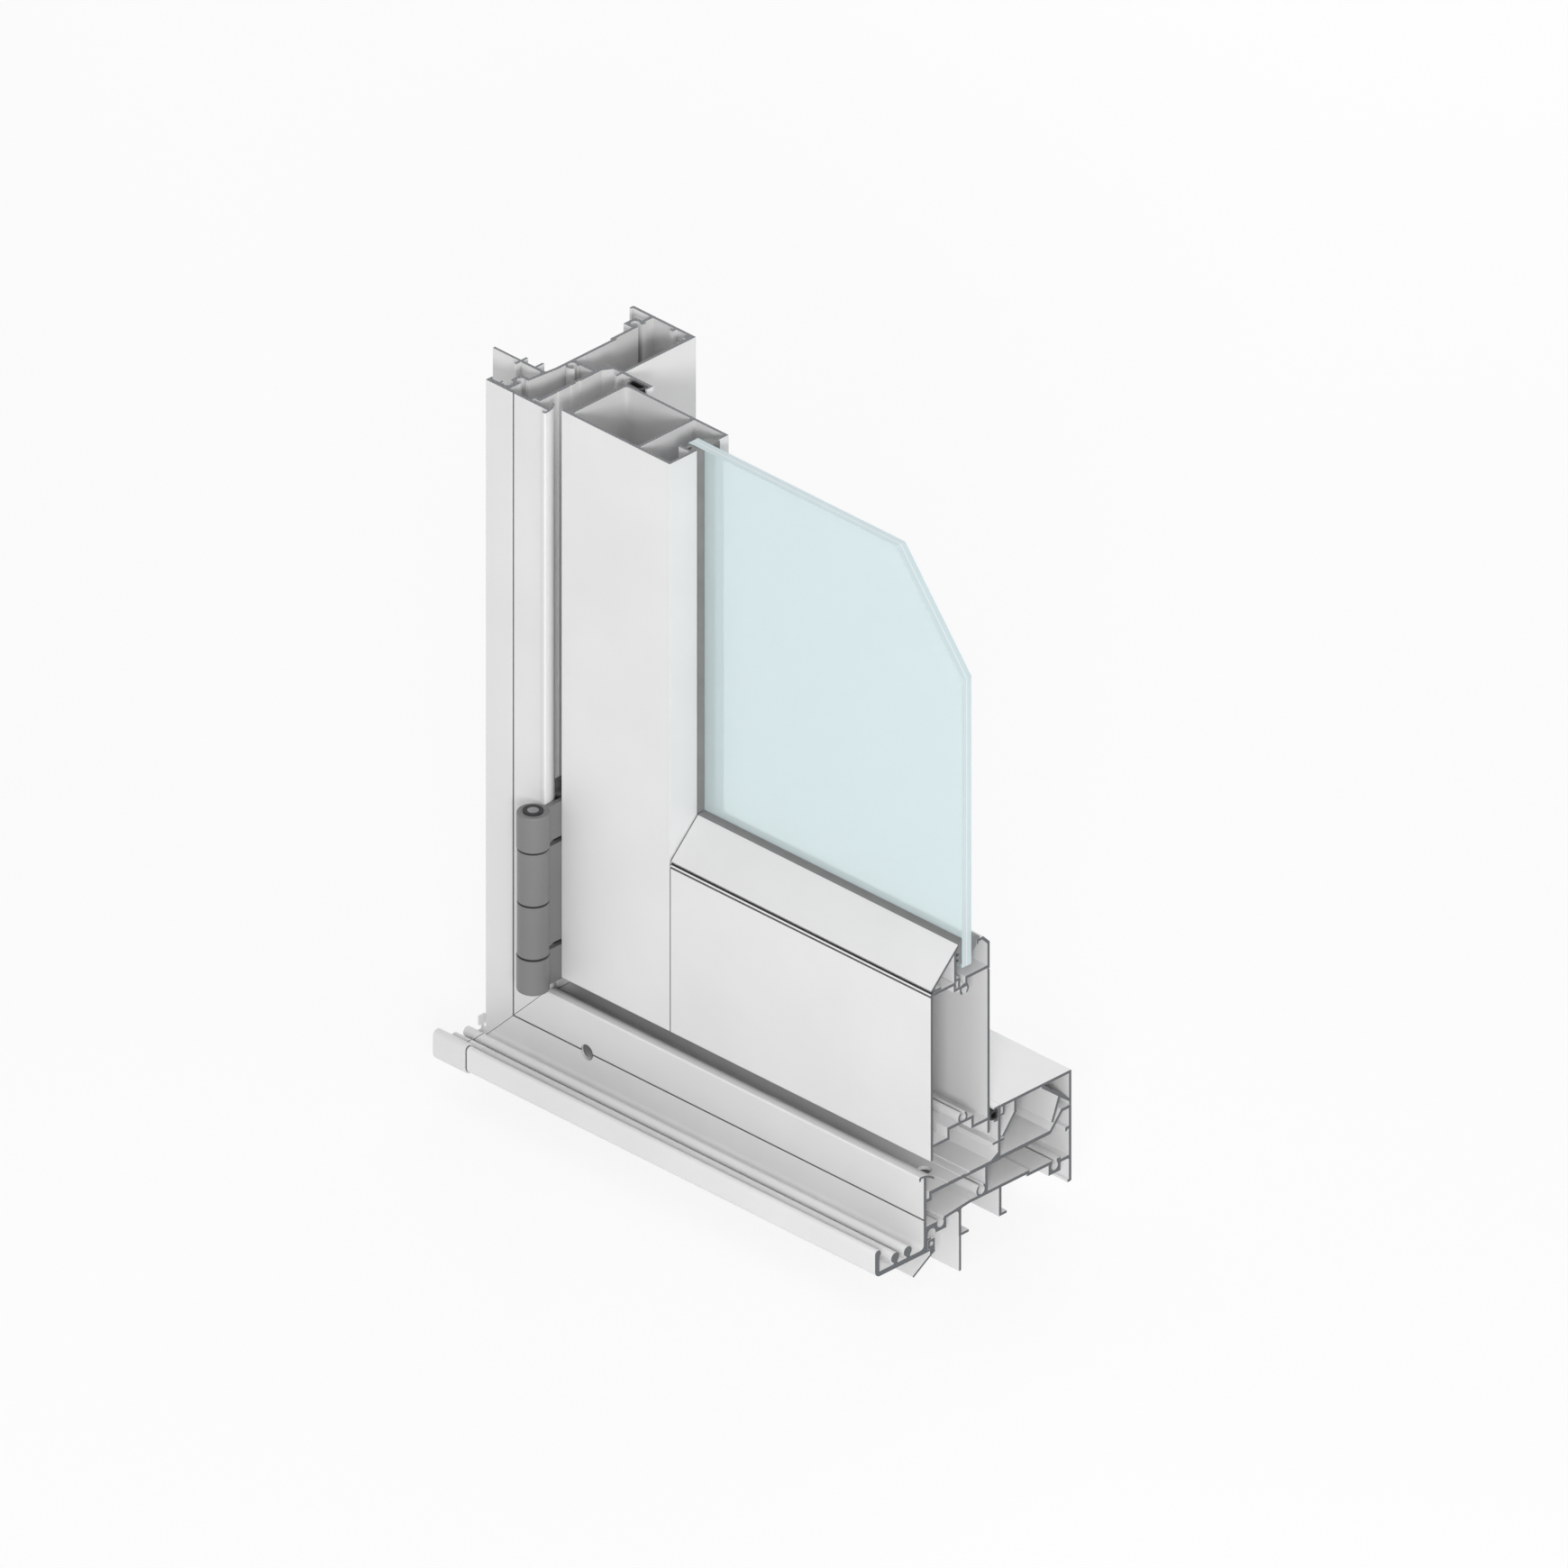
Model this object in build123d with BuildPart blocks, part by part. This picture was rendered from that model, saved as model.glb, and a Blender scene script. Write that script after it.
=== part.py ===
from build123d import *
from math import atan2, degrees
import os

# Lower hinge-side corner of an outward opening bi-fold door, cut off square as a section piece:
# a mitred aluminium jamb and sill, the foot of the first folding panel with its stile, bottom
# rail, glazing bead and glass, and the lowest of the hinges that carry it.
# X runs along the sill from the wall, Y from the exterior face inwards, Z upwards. Sizes below
# are measured from the outside corner of the frame, where the planes of the jamb's feet, the
# exterior face and the sill's feet meet. All are millimetres.

# How much of the door is kept
sill_run = 301.4
jamb_rise = 368.5
glass_cut_run = 45.4
glass_cut_drop = 56.8

# Frame extrusion, shared by jamb and sill: y from the exterior face, h from the feet
frame_depth = 101.6
frame_wall = 1.7
face_pad = 2.7
lip_top = 44.0
lip_out = 3.2
lip_in = 7.2
lip_wall = 1.2
lip_crown = 0.8
lip_fall = 3.7
groove_height = 18.7
groove_depth = 0.7
web_front_height = 15.6
web_level_y = 31.7
lower_web_height = 17.6
web_step_y = 71.0
web_step = 1.3
web_rear_drop = 1.3
cross_web_port = 2.7
upper_web_height = 33.6
upper_web_wall = 2.0
riser_y = 3.7
riser_foot_height = 28.3
leg_1_y = 24.1
leg_2_offset = 0.7
leg_fillet = 2.2
inner_fillet = 1.2
toe_fillet = 0.7
foot_wall = 1.4
foot_1_reach = 5.2
foot_2_reach = 3.6
jamb_foot_height = 7.9
cross_web_setback = 8.8
upstand_gap = 5.7
upstand_height = 62.4
upstand_gusset = 5.1
upstand_gusset_rise = 3.0
upstand_fin_wall = 1.3
upstand_fin_height = 41.7
upstand_fin_reach = 3.7
seal_pocket_depth = 2.7
seal_pocket_lip = 1.1
seal_pocket_height = 6.0
jamb_pocket_height = 11.0
seal_gap = 0.15
bulb_inset = 0.6
bulb_wall = 0.9
interior_height = 43.0
interior_toe = 1.0
clip_rib_height = 29.8
clip_rib_reach = 2.5
clip_rib_wall = 1.6
clip_rib_hook = 0.7
corner_block_reach = 3.2
corner_block_depth = 2.6
corner_rib_setback = 8.5
corner_rib_width = 2.0
corner_rib_depth = 1.4
top_web_notch_y = 16.2
top_web_groove_y = 25.0
top_web_flat_y = 28.6
top_web_flat = 3.1
top_web_flat_depth = 0.5
cap_catch_reach = 2.4
cap_catch_top_reach = 2.8
cap_catch_wall = 1.2
cap_catch_lift = 0.7
sill_floor_rise = 0.3

# Screw ports, and the claw that the drip flap clips into behind the exterior face
port_setback = 12.7
port_height = 12.9
port_foot = 8.8
port_block = 8.2
port_shelf_top = 14.6
rear_port_setback = 11.6
screw_port_radius = 2.3
screw_port_wall = 1.3
inner_port_wall = 1.1
screw_port_mouth = 3.0
port_shelf_reach = 3.3
claw_y = 5.4
claw_height = 9.6
claw_radius = 2.6
hook_height = 6.4
hook_reach = 2.2
hook_wall = 1.2
hook_foot_reach = 1.4
mitre_gap = 0.3

# Sill only: gutter nose in front of the exterior face, and the snap-in interior cap
nose_reach = 33.5
nose_wall = 3.0
nose_height = 14.8
nose_bead = 2.0
nose_floor = 2.7
nose_corner = 3.5
rib_height = 8.8
rib_wall = 2.7
rib_head = 2.7
rib_lean = 0.3
nose_fillet = 2.4
rib_1_y = -19.4
rib_2_y = -10.7
cap_wall = 1.6
cap_seat_gap = 0.15
cap_leg_wall = 1.5
cap_leg_setback = 11.1
cap_leg_drop = 6.8
cap_hook_y = 1.4
cap_hook_wall = 1.4
cap_hook_drop = 3.5
cap_brace_run = 20.2
cap_brace_share = 0.62
cap_brace_lean = 5.0
cap_brace_drop = 5.0
sill_slope_setback = 14.4
sill_slope_run = 7.9
end_cap_reach = 2.0
end_cap_sleeve = 21.6
end_cap_lap = 6.0
end_cap_wall = 1.0
end_cap_gap = 0.15
end_cap_tab_height = 11.5
end_cap_tab_low = 6.4
end_cap_tab_front = 3.4
end_cap_tab_back = 1.0
end_cap_neck = 1.4

# Nail fins and the drip flap under the nose
fin_wall = 1.4
fin_reach = 19.5
fin_gap = 0.1
fin_flange_wall = 1.4
fin_flange_front = 3.3
fin_flange_back = 3.5
flap_start_x = 8.0
flap_wall = 1.2
flap_reach = 14.6
flap_angle = 32.0
flap_clip_depth = 4.9
flap_clip_gap = 0.15
flap_clip_bore = 1.2
flap_neck_setback = 1.4
flap_neck_drop = 1.6

# Panel: stile and bottom rail
panel_front = 4.8
panel_depth = 40.6
panel_wall = 1.6
panel_bottom = 50.0
panel_fillet = 2.0
joint_gap = 0.3
stile_x = 51.6
stile_lip = 4.2
stile_width = 70.1
stile_web_setback = 23.7
glazing_room = 21.8
gasket_shelf = 8.4
gasket_shelf_gap = 1.8
rail_foot = 7.2
rail_step_depth = 11.4
rail_step = 5.5
rail_channel = 12.6
rail_height = 93.8
rail_rebate = 18.2
rail_lip_cant = 4.5
rail_lip_run = 4.8
rail_lip_hook = 2.8
rail_lip_wall = 1.2
rail_groove = 0.6
snap_setback = 3.0
snap_depth = 3.6
snap_width = 9.4
snap_wall = 1.4
snap_ledge = 0.6
rail_port_setback = 2.1
rail_port_drop = 4.6
rail_port_radius = 2.0
rail_port_wall = 1.2
rail_port_mouth = 2.6
low_port_setback = 5.9

# Glass, its gaskets, bead and setting block
glass_thickness = 6.4
glass_front_gap = 2.7
glass_bite = 8.4
glass_lift = 6.2
glass_gap = 0.2
stile_wedge_gap = 4.7
rail_wedge_gap = 3.7
bead_wall = 1.4
bead_seat_gap = 0.15
bead_reveal = 1.4
bead_recess = 1.6
bead_leg_setback = 2.7
bead_foot_reach = 7.2
block_length = 50.0
block_offset = 53.3
block_pad = 5.2
strip_width = 2.6
strip_stem = 1.8
strip_heel = 1.9
wedge_foot = 6.4
wedge_reach = 1.2
wedge_rise = 3.0
wedge_cover = 2.6
wedge_cover_wall = 1.2

# Hinge: knuckles on a pin, two cranked leaves in the gap between jamb and stile
hinge_setback = 3.1
hinge_reach = 11.8
hinge_drop = 0.9
hinge_length = 99.8
knuckle_radius = 8.2
inner_knuckle_radius = 7.9
knuckle_gap = 1.2
knuckle_round = 0.9
end_knuckle = 20.0
leaf_thickness = 2.9
leaf_gap = 0.25
leaf_turn_y = 9.6
leaf_depth = 30.0
leaf_extra = 3.5
leaf_foot_gap = 2.0
tongue_trim = 2.5
pin_radius = 2.9
pin_gap = 0.05
bush_radius = 5.2
bush_flange = 0.6
ring_wall = 0.1
ring_inset = 0.5
ring_gap = 0.15

# Drain holes
drain_radius = 4.2
drain_x = 69.5
slot_x = 284.6
slot_y = 17.2
slot_radius = 3.7

# Derived places
fin_y = leg_1_y + 0.2
origin_x = sill_run / 2
origin_y = fin_y + fin_wall
origin_z = -fin_reach / 2
inside = frame_depth - frame_wall
rear_port_y = frame_depth - rear_port_setback
sill_slope_y = frame_depth - sill_slope_setback
panel_back = panel_front + panel_depth
upstand_y = panel_back + upstand_gap
leg_2_y = upstand_y + leg_2_offset
cross_web_y = upstand_y - cross_web_setback
glazing_stop = panel_back - glazing_room
stile_lip_x = stile_x - stile_lip
stile_right_x = stile_x + stile_width
stile_web_x = stile_right_x - stile_web_setback
rail_lower_web = panel_bottom + rail_foot
rail_step_y = panel_front + rail_step_depth
rail_channel_y = panel_back - rail_channel
upper_top = panel_bottom + rail_height
rail_upper_web = upper_top - panel_wall
rail_lip_height = upper_top + rail_rebate
rail_upstand = rail_lip_height - rail_lip_cant
snap_y = glazing_stop - snap_setback
snap_back = snap_y + snap_width
bead_leg_y = glazing_stop - bead_leg_setback
glass_y = glazing_stop + glass_front_gap
glass_back = glass_y + glass_thickness
glass_edge_x = stile_right_x - glass_bite
glass_bottom = upper_top + glass_lift
hinge_x = stile_lip_x - hinge_setback
hinge_y = -hinge_reach
hinge_bottom = panel_bottom - hinge_drop
hinge_top = hinge_bottom + hinge_length
leaf_x = stile_lip_x - leaf_gap - leaf_thickness
leaf_top = hinge_top + leaf_extra


def at(x, y, z):
    """Turns sizes from the frame's outside corner into the part's own coordinates."""
    return (x - origin_x, y - origin_y, z - origin_z)


def across(x):
    """Plane of a section that runs along the sill: sketch x is depth, sketch y is height."""
    return Plane(origin=at(x, 0, 0), x_dir=(0, 1, 0), z_dir=(1, 0, 0))


def level(z):
    """Level plane: sketch x runs along the sill, sketch y is depth."""
    return Plane(origin=at(0, 0, z), x_dir=(1, 0, 0), z_dir=(0, 0, 1))


jamb_cut = Plane(origin=at(0, 0, jamb_rise), x_dir=(0, 1, 0), z_dir=(0, 0, -1))
mitre = Plane(origin=at(0, 0, 0), x_dir=(0, 1, 0), z_dir=(-1, 0, 1))


def slab(low, high, mode=Mode.ADD):
    """Rectangle between two opposite corners."""
    with Locations(((low[0] + high[0]) / 2, (low[1] + high[1]) / 2)):
        Rectangle(abs(high[0] - low[0]), abs(high[1] - low[1]), mode=mode)


def strut(start, end, wall):
    """Straight wall centred on the line from start to end."""
    run = (end[0] - start[0], end[1] - start[1])
    middle = ((start[0] + end[0]) / 2, (start[1] + end[1]) / 2, 0)
    turn = degrees(atan2(run[1], run[0]))
    with Locations(Location(middle, (0, 0, turn))):
        Rectangle((run[0] ** 2 + run[1] ** 2) ** 0.5, wall)


def port_bore(centre, mouth_side, radius=screw_port_radius, mouth=screw_port_mouth):
    """Cuts a screw port's round channel and its mouth, open up (+1) or down (-1)."""
    with Locations(centre):
        Circle(radius, mode=Mode.SUBTRACT)
    reach = mouth_side * (radius + 2 * screw_port_wall)
    slab((centre[0] - mouth / 2, centre[1]), (centre[0] + mouth / 2, centre[1] + reach),
         mode=Mode.SUBTRACT)


def round_corners(sketch, places, radius):
    """Rounds the corners of a profile that lie nearest to the given places."""
    corners = [sketch.vertices().sort_by_distance((*place, 0))[0] for place in places]
    fillet(corners, radius)


def frame_section(for_sill):
    """Frame profile: chambers between the exterior face, two webs and the interior plate."""
    lower_low = lower_web_height - frame_wall
    upper_low = upper_web_height - upper_web_wall
    port_y = leg_1_y - port_setback
    block_back = port_y + port_block / 2
    rear_web_top = lower_web_height - web_step
    with BuildSketch() as section:
        # Screw ports first, so that their channels cut nothing else
        slab((port_y - port_block / 2, port_foot), (block_back, port_shelf_top))
        slab((frame_wall, claw_height), (port_y - port_shelf_reach, port_shelf_top))
        port_bore((port_y, port_height), 1)
        with Locations((claw_y, claw_height)):
            Circle(claw_radius, mode=Mode.SUBTRACT)
        slab((frame_wall, 0), (claw_y + claw_radius, claw_height), mode=Mode.SUBTRACT)
        slab((rear_port_y - port_block / 2, port_foot), (rear_port_y + port_block / 2, rear_web_top))
        port_bore((rear_port_y, port_height), 1)
        inner_port = (cross_web_y - cross_web_port, lower_web_height + screw_port_radius)
        with Locations(inner_port):
            Circle(screw_port_radius + inner_port_wall)
        port_bore(inner_port, 1)

        # Exterior face plate, thicker round the flap pocket, with its rounded top lip
        slab((0, 0), (frame_wall, lip_top - 1.0))
        slab((0, 0), (face_pad, port_height))
        slab((face_pad, 0), (face_pad + hook_foot_reach, hook_wall))
        slab((face_pad, hook_height), (face_pad + hook_reach, hook_height + hook_wall))
        with BuildLine():
            middle = (lip_in - lip_out) / 2 + 0.4
            crown = ThreePointArc((-lip_out + 0.6, lip_top), (middle, lip_top - lip_crown),
                                  (lip_in, lip_top - lip_fall))
            under = ThreePointArc((-lip_out + 1.5, lip_top - lip_wall),
                                  (middle, lip_top - lip_crown - lip_wall),
                                  (lip_in - 0.4, lip_top - lip_fall - lip_wall))
            Polyline(crown @ 0, (-lip_out, lip_top - 0.7), (-lip_out + 0.2, lip_top - 2 * lip_wall),
                     (-lip_out + 1.3, lip_top - 2 * lip_wall), under @ 0)
            Line(crown @ 1, under @ 1)
        make_face()

        # Lower web, sloping up behind the face and level as far as the interior
        slab((block_back - frame_wall, port_height), (block_back, web_front_height - 0.2))
        strut((block_back - frame_wall, web_front_height - frame_wall / 2),
              (web_level_y + 0.2, lower_web_height - frame_wall / 2), frame_wall)
        slab((web_level_y, lower_low), (web_step_y + frame_wall, lower_web_height))
        slab((web_step_y, lower_low - web_step), (rear_port_y - screw_port_mouth / 2, rear_web_top))
        rear_web_low = rear_web_top - web_rear_drop - frame_wall
        slab((rear_port_y + screw_port_mouth, rear_web_low), (inside, rear_web_top - web_rear_drop))

        # Legs and feet that bear on the building; the jamb has one leg, its foot set higher
        foot_low = 0 if for_sill else jamb_foot_height
        slab((leg_1_y, 0), (leg_1_y + frame_wall, lower_low))
        slab((leg_1_y, foot_low), (leg_1_y + frame_wall + foot_1_reach, foot_low + foot_wall))
        if for_sill:
            slab((leg_2_y, 0), (leg_2_y + frame_wall, lower_web_height))
            slab((leg_2_y, 0), (leg_2_y + frame_wall + foot_2_reach, foot_wall))

        # Upper web on its riser, the cross web, and the upstand that carries the seal
        slab((frame_wall, riser_foot_height), (riser_y + frame_wall, riser_foot_height + frame_wall))
        slab((riser_y, riser_foot_height), (riser_y + frame_wall, upper_web_height))
        slab((riser_y, upper_low), (upstand_y, upper_web_height))
        slab((cross_web_y, lower_low), (cross_web_y + frame_wall, upper_web_height))
        with BuildLine():
            gusset_y = upstand_y + 0.1
            Polyline((upstand_y - upstand_gusset, upper_web_height),
                     (gusset_y, upper_web_height + upstand_gusset_rise),
                     (gusset_y, upper_web_height), close=True)
        make_face()
        slab((upstand_y, upper_low), (upstand_y + frame_wall, upstand_height))
        slab((upstand_y - upstand_fin_reach, upstand_fin_height),
             (upstand_y + frame_wall, upstand_fin_height + upstand_fin_wall))
        pocket_top = upstand_height - seal_pocket_lip
        pocket_low = pocket_top - (seal_pocket_height if for_sill else jamb_pocket_height)
        for lip_low in (pocket_top, pocket_low - seal_pocket_lip):
            slab((upstand_y - seal_pocket_depth, lip_low), (upstand_y, lip_low + seal_pocket_lip))

        # Interior plate, its toe and its clip rib
        slab((inside, 0), (frame_depth, interior_height))
        slab((inside - interior_toe, 0), (inside, foot_wall))
        rib_top = clip_rib_height + clip_rib_wall
        slab((inside - clip_rib_reach, clip_rib_height), (inside, rib_top))
        slab((inside - clip_rib_reach, clip_rib_height - clip_rib_hook),
             (inside - clip_rib_reach / 2, rib_top))
        plate_low = interior_height - frame_wall
        if for_sill:
            slope_end = sill_slope_y + sill_slope_run
            slab((upstand_y, upper_low + sill_floor_rise),
                 (sill_slope_y, upper_web_height + sill_floor_rise))
            strut((sill_slope_y - 0.4, upper_web_height - 0.9),
                  (slope_end, interior_height - frame_wall / 2), frame_wall)
            slab((slope_end - 0.8, plate_low), (frame_depth, interior_height))
            cap_catch = upstand_y + frame_wall
            slab((cap_catch, upstand_fin_height),
                 (cap_catch + cap_catch_reach, upstand_fin_height + upstand_fin_wall))
            catch_low = pocket_low + cap_catch_lift
            slab((cap_catch, catch_low), (cap_catch + cap_catch_top_reach, catch_low + cap_catch_wall))
        else:
            slab((upstand_y, plate_low), (frame_depth, interior_height))
            rib_y = inside - corner_rib_setback
            slab((rib_y, plate_low - corner_rib_depth), (rib_y + corner_rib_width, plate_low))
            slab((inside - corner_block_reach, plate_low - corner_block_depth), (inside, plate_low))

        # Grooves in the exterior face and along the webs
        with Locations((0, groove_height), (web_step_y + 1.4, upper_low)):
            Rectangle(groove_depth * 1.414, groove_depth * 1.414, rotation=45, mode=Mode.SUBTRACT)
        slab((top_web_flat_y, upper_web_height - top_web_flat_depth),
             (top_web_flat_y + top_web_flat, upper_web_height), mode=Mode.SUBTRACT)
        with Locations((top_web_notch_y, upper_web_height), (top_web_groove_y, upper_web_height)):
            Rectangle(groove_depth, groove_depth, rotation=45, mode=Mode.SUBTRACT)

        # Rounded inner corners that the die leaves
        slope_low = lower_low - frame_wall * 0.45
        round_corners(section, [(leg_1_y, slope_low)], leg_fillet)
        round_corners(section, [(leg_1_y + frame_wall, slope_low + 0.3), (inside, rear_web_low)],
                      inner_fillet)
        round_corners(section, [(frame_depth, 0)], toe_fillet)
    return section.sketch


def nose_lip(grow, floor_end):
    """Outline of the gutter's floor and rounded front lip, grown all round by a clearance."""
    bead_level = nose_height - nose_bead
    with BuildSketch() as outline:
        slab((-nose_reach - grow, -grow), (floor_end, nose_floor + grow))
        slab((-nose_reach - grow, -grow), (-nose_reach + nose_wall + grow, bead_level))
        with Locations((-nose_reach + nose_bead, bead_level)):
            Circle(nose_bead + grow)
        fillet(outline.vertices().group_by(Axis.Y)[0].sort_by(Axis.X)[0], nose_corner + grow)
    return outline.sketch


def nose_section():
    """Gutter in front of the face: a floor, a rounded front lip and two headed ribs."""
    with BuildSketch() as section:
        add(nose_lip(0, 0))
        for rib_y in (rib_1_y, rib_2_y):
            slab((rib_y - rib_wall / 2, 0), (rib_y + rib_wall / 2, rib_height - rib_head))
            with Locations((rib_y - rib_lean, rib_height - rib_head)):
                Circle(rib_head)
        with BuildLine():
            Line((-nose_fillet, nose_floor), (0, nose_floor))
            Line((0, nose_floor), (0, nose_floor + nose_fillet))
            RadiusArc((0, nose_floor + nose_fillet), (-nose_fillet, nose_floor), nose_fillet)
        make_face()
    return section.sketch


parts = []


def finish(part, name):
    """Labels a finished piece and puts it in the list that is written out."""
    part.label = name
    parts.append((part, name))


# Frame

with BuildPart() as jamb:
    with BuildSketch(jamb_cut):
        add(frame_section(False))
    extrude(amount=jamb_rise)
    split(bisect_by=mitre.offset(mitre_gap / 2), keep=Keep.TOP)
finish(jamb.part, "jamb_frame")

with BuildPart() as sill:
    with BuildSketch(across(0)):
        add(frame_section(True))
        add(nose_section())
    extrude(amount=sill_run)
    split(bisect_by=mitre.offset(-mitre_gap / 2), keep=Keep.BOTTOM)
    with BuildSketch(Plane(origin=at(0, 0, 0), x_dir=(1, 0, 0), z_dir=(0, -1, 0))):
        with Locations((drain_x, groove_height)):
            Circle(drain_radius)
    extrude(amount=-frame_wall - 1.0, mode=Mode.SUBTRACT)
    with BuildSketch(level(upper_web_height)):
        with Locations((slot_x, slot_y)):
            Circle(slot_radius)
    extrude(amount=-upper_web_wall - 1.0, mode=Mode.SUBTRACT)
finish(sill.part, "sill_frame")

# Interior cap of the sill: it hooks on the upstand and stands on the interior plate

with BuildPart() as sill_cap:
    cap_x = interior_height + 0.3
    cap_y = upstand_y + frame_wall + cap_seat_gap
    cap_low = upstand_height - cap_wall
    leg_foot = cap_low - cap_leg_drop
    leg_y = upstand_y + cap_leg_setback
    brace_start = (frame_depth - cap_brace_run, cap_low)
    brace_end = (frame_depth - cap_wall / 2, interior_height + 2.4)
    prop_top = tuple(a + cap_brace_share * (b - a) for a, b in zip(brace_start, brace_end))
    with BuildSketch(across(cap_x)) as cap_face:
        slab((cap_y, cap_low), (frame_depth, upstand_height))
        slab((frame_depth - cap_wall, interior_height + cap_seat_gap), (frame_depth, upstand_height))
        slab((leg_y, leg_foot), (leg_y + cap_wall, cap_low + 0.2))
        strut((leg_y + cap_wall / 2, leg_foot + 0.6), (cap_y + 1.6, upstand_fin_height + 2.4), cap_leg_wall)
        strut(brace_start, brace_end, cap_leg_wall)
        strut(prop_top, (prop_top[0] - cap_brace_lean, interior_height - cap_brace_drop), cap_leg_wall)
        slab((cap_y + cap_hook_y, cap_low - cap_hook_drop),
             (cap_y + cap_hook_y + cap_hook_wall, cap_low + 0.2))
        round_corners(cap_face, [(frame_depth, upstand_height)], 0.6)
    extrude(amount=sill_run - cap_x)
finish(sill_cap.part, "sill_cap")

# End cap of the gutter: the gutter's own profile up to the mitre, and a sleeve over its lip

with BuildPart() as end_cap:
    with BuildSketch(across(-end_cap_reach)):
        add(nose_section())
    extrude(amount=end_cap_reach + nose_height + 1)
    split(bisect_by=mitre.offset(mitre_gap / 2), keep=Keep.TOP)
    with BuildSketch(across(-end_cap_reach)):
        add(nose_lip(end_cap_wall, -nose_reach + end_cap_lap))
        add(nose_lip(end_cap_gap, 0), mode=Mode.SUBTRACT)
        slab((-nose_reach + nose_wall, -end_cap_gap), (0, nose_height - nose_bead - 1.0),
             mode=Mode.SUBTRACT)
    extrude(amount=end_cap_sleeve)
    with BuildSketch(across(-end_cap_reach)):
        add(nose_lip(end_cap_wall, 0))
        slab((-end_cap_tab_front, end_cap_tab_low), (end_cap_tab_back, end_cap_tab_height))
        slab((-end_cap_neck, 0), (0, end_cap_tab_low + end_cap_wall))
    extrude(amount=end_cap_wall)
finish(end_cap.part, "nose_end_cap")

# Nail fins below the sill and beside the jamb, butted on the first leg

with BuildPart() as sill_fin:
    with BuildSketch(across(0)):
        slab((fin_y, -fin_reach), (fin_y + fin_wall, -fin_gap))
    extrude(amount=sill_run)
finish(sill_fin.part, "sill_nail_fin")

with BuildPart() as jamb_fin:
    with BuildSketch(jamb_cut):
        slab((fin_y, -fin_reach), (fin_y + fin_wall, -fin_gap))
        slab((fin_y - fin_flange_front, -fin_gap - fin_flange_wall),
             (fin_y + fin_wall + fin_flange_back, -fin_gap))
    extrude(amount=jamb_rise)
finish(jamb_fin.part, "jamb_nail_fin")

# Drip flap: a clip between the two hooks behind the face, and a blade that leans outwards

with BuildPart() as flap:
    clip_y = face_pad + flap_clip_gap
    clip_back = face_pad + flap_clip_depth
    with BuildSketch(across(flap_start_x)):
        slab((clip_y, hook_wall + flap_clip_gap), (clip_back, hook_height - flap_clip_gap))
        neck_y = clip_y + flap_neck_setback
        slab((neck_y, -flap_neck_drop), (clip_back, hook_wall + 2 * flap_clip_gap))
        with Locations(((clip_y + clip_back) / 2, (hook_wall + hook_height) / 2)):
            Circle(flap_clip_bore, mode=Mode.SUBTRACT)
        with Locations(Location((clip_back, -0.6, 0), (0, 0, 180 + flap_angle))):
            Rectangle(flap_reach + 3.0, flap_wall, align=(Align.MIN, Align.CENTER))
        slab((-nose_reach, -flap_clip_gap), (neck_y, hook_wall + flap_clip_gap), mode=Mode.SUBTRACT)
    extrude(amount=sill_run - flap_start_x)
finish(flap.part, "sill_drip_flap")

# Panel

with BuildPart() as stile:
    with BuildSketch(level(panel_bottom)) as stile_face:
        slab((stile_lip_x, panel_front), (stile_right_x, panel_front + panel_wall))
        slab((stile_x, panel_front), (stile_x + panel_wall, panel_back))
        slab((stile_x, panel_back - panel_wall), (stile_right_x, panel_back))
        slab((stile_web_x, panel_front), (stile_web_x + panel_wall, panel_back))
        slab((stile_right_x - panel_wall, panel_front), (stile_right_x, glazing_stop))
        shelf_back = glazing_stop - gasket_shelf_gap
        slab((stile_right_x - gasket_shelf - 0.8, shelf_back - panel_wall), (stile_right_x, shelf_back))
        slab((stile_right_x - panel_wall, glass_back + stile_wedge_gap), (stile_right_x, panel_back))
        chamber_x = (stile_x + panel_wall, stile_web_x)
        chamber_y = (panel_front + panel_wall, panel_back - panel_wall)
        round_corners(stile_face, [(x, y) for x in chamber_x for y in chamber_y], panel_fillet)
    extrude(amount=jamb_rise - panel_bottom)
finish(stile.part, "stile")

rail_start = stile_right_x + joint_gap
snap_floor = rail_upper_web - snap_depth

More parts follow.
